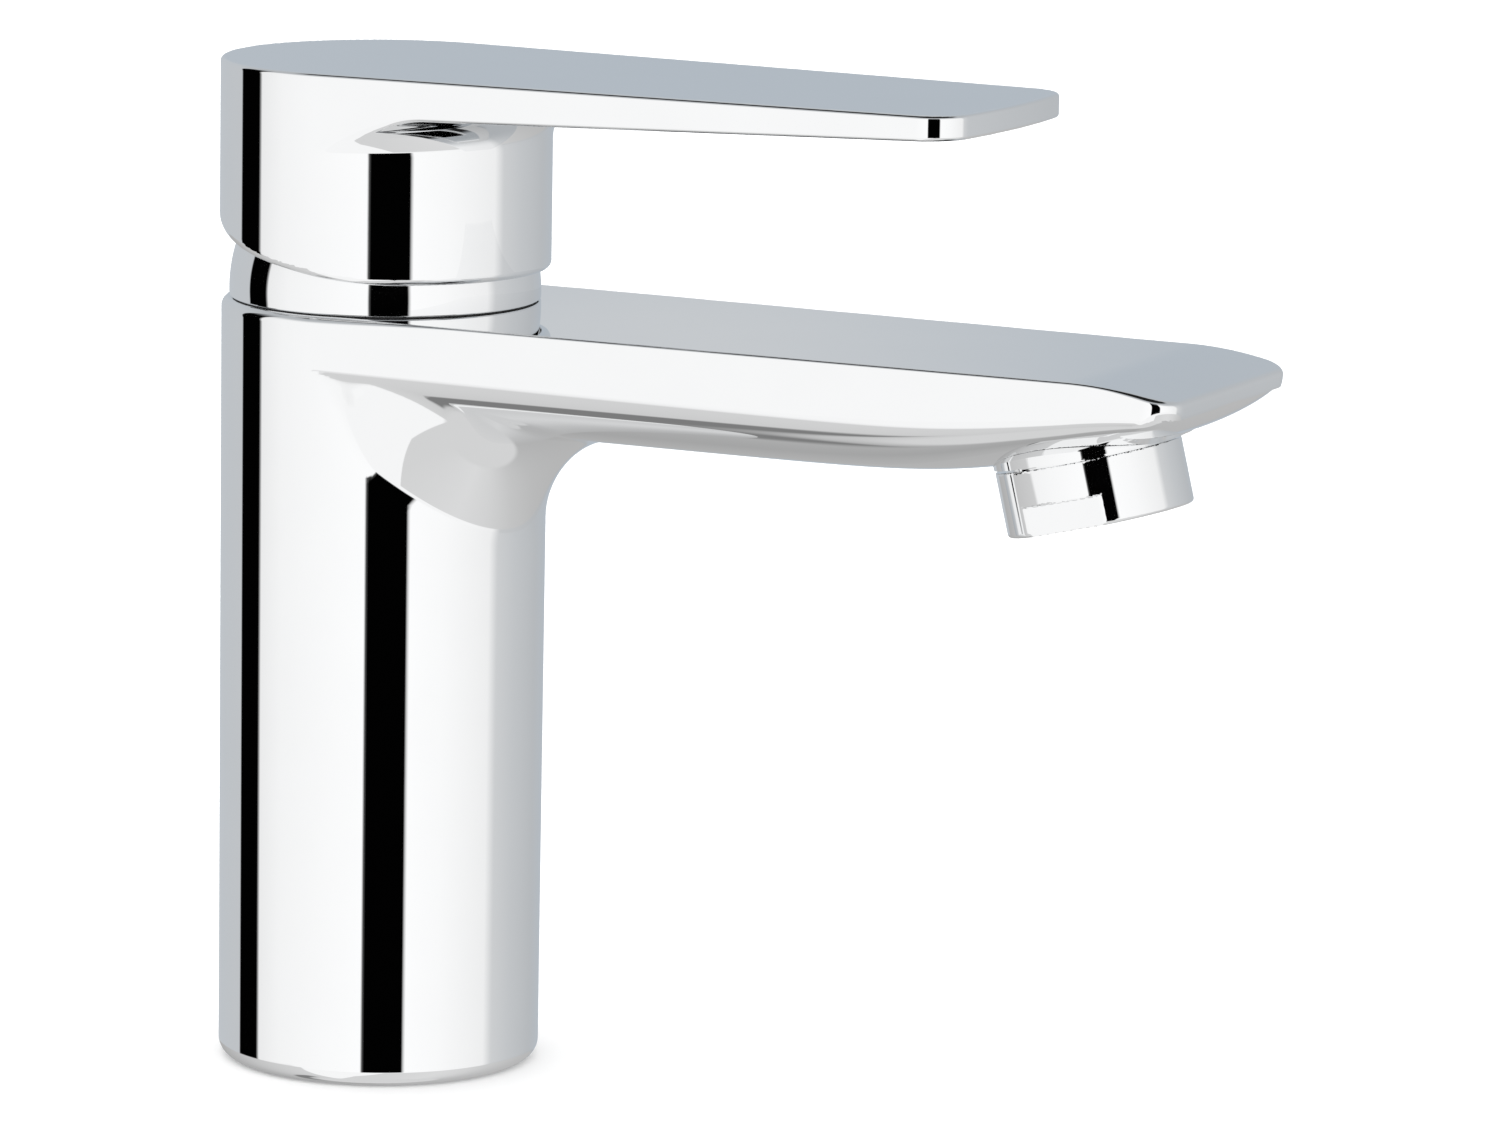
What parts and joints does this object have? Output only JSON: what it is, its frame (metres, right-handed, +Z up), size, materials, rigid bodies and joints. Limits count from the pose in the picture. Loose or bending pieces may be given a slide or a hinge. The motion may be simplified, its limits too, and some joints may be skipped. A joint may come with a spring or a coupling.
{
  "type": "basin mixer tap",
  "caption": "Single-lever chrome basin mixer with a round column, a flat-topped spout, a tilted aerator and a flat lever over a ball-shaped collar.",
  "frame": {"origin": "centre of the column's round foot, on the deck", "axes": "+Z up along the column, the spout and the lever point along -Y, symmetric about X = 0"},
  "size_m": [0.0492, 0.1613, 0.1503],
  "materials": {
    "chrome": "polished",
    "brass": "machined",
    "steel": "ground",
    "dark_steel": "black oxide",
    "rubber": "matte",
    "ceramic": "lapped ceramic",
    "light_plastic": "moulded",
    "grey_plastic": "moulded",
    "green_plastic": "moulded",
    "red_plastic": "moulded"
  },
  "bodies": {
    "tap": {"body": "chrome", "base_seal": "rubber", "port_seals": "rubber", "cartridge_base": "light_plastic", "disc_seals": "rubber", "fixed_disc": "ceramic", "cartridge_housing": "light_plastic", "slip_ring": "light_plastic", "retaining_nut": "brass", "limit_ring": "red_plastic", "dome_seal": "rubber", "dome_collar": "chrome", "aerator_housing": "chrome", "aerator_washer": "rubber", "flow_regulator": "green_plastic", "aerator_insert": "light_plastic", "aerator_screen": "steel"},
    "turning": {"rotor": "grey_plastic", "rotor_seal": "rubber", "pivot_pin": "steel"},
    "sliding": {"disc_carrier": "light_plastic", "moving_disc": "ceramic"},
    "lever": {"lever_handle": "chrome", "spindle": "steel", "grub_screw": "dark_steel", "index_plug": "grey_plastic"}
  },
  "joints": [
    {"name": "lever_turn", "type": "hinge", "parent": "tap", "child": "turning", "pos_m": [0, 0, 0.116], "axis": [0, 0, 1], "range_deg": [-50, 50]},
    {"name": "lever_lift", "type": "hinge", "parent": "turning", "child": "lever", "pos_m": [0, 0, 0.116], "axis": [-1, 0, 0], "range_deg": [0, 22]},
    {"name": "disc_slide", "type": "slide", "parent": "turning", "child": "sliding", "axis": [0, -1, 0], "range_m": [0, 0.00458]}
  ],
  "couplings": [
    {"joint": "disc_slide", "follows": "lever_lift", "m_per_rad": 0.011925}
  ]
}
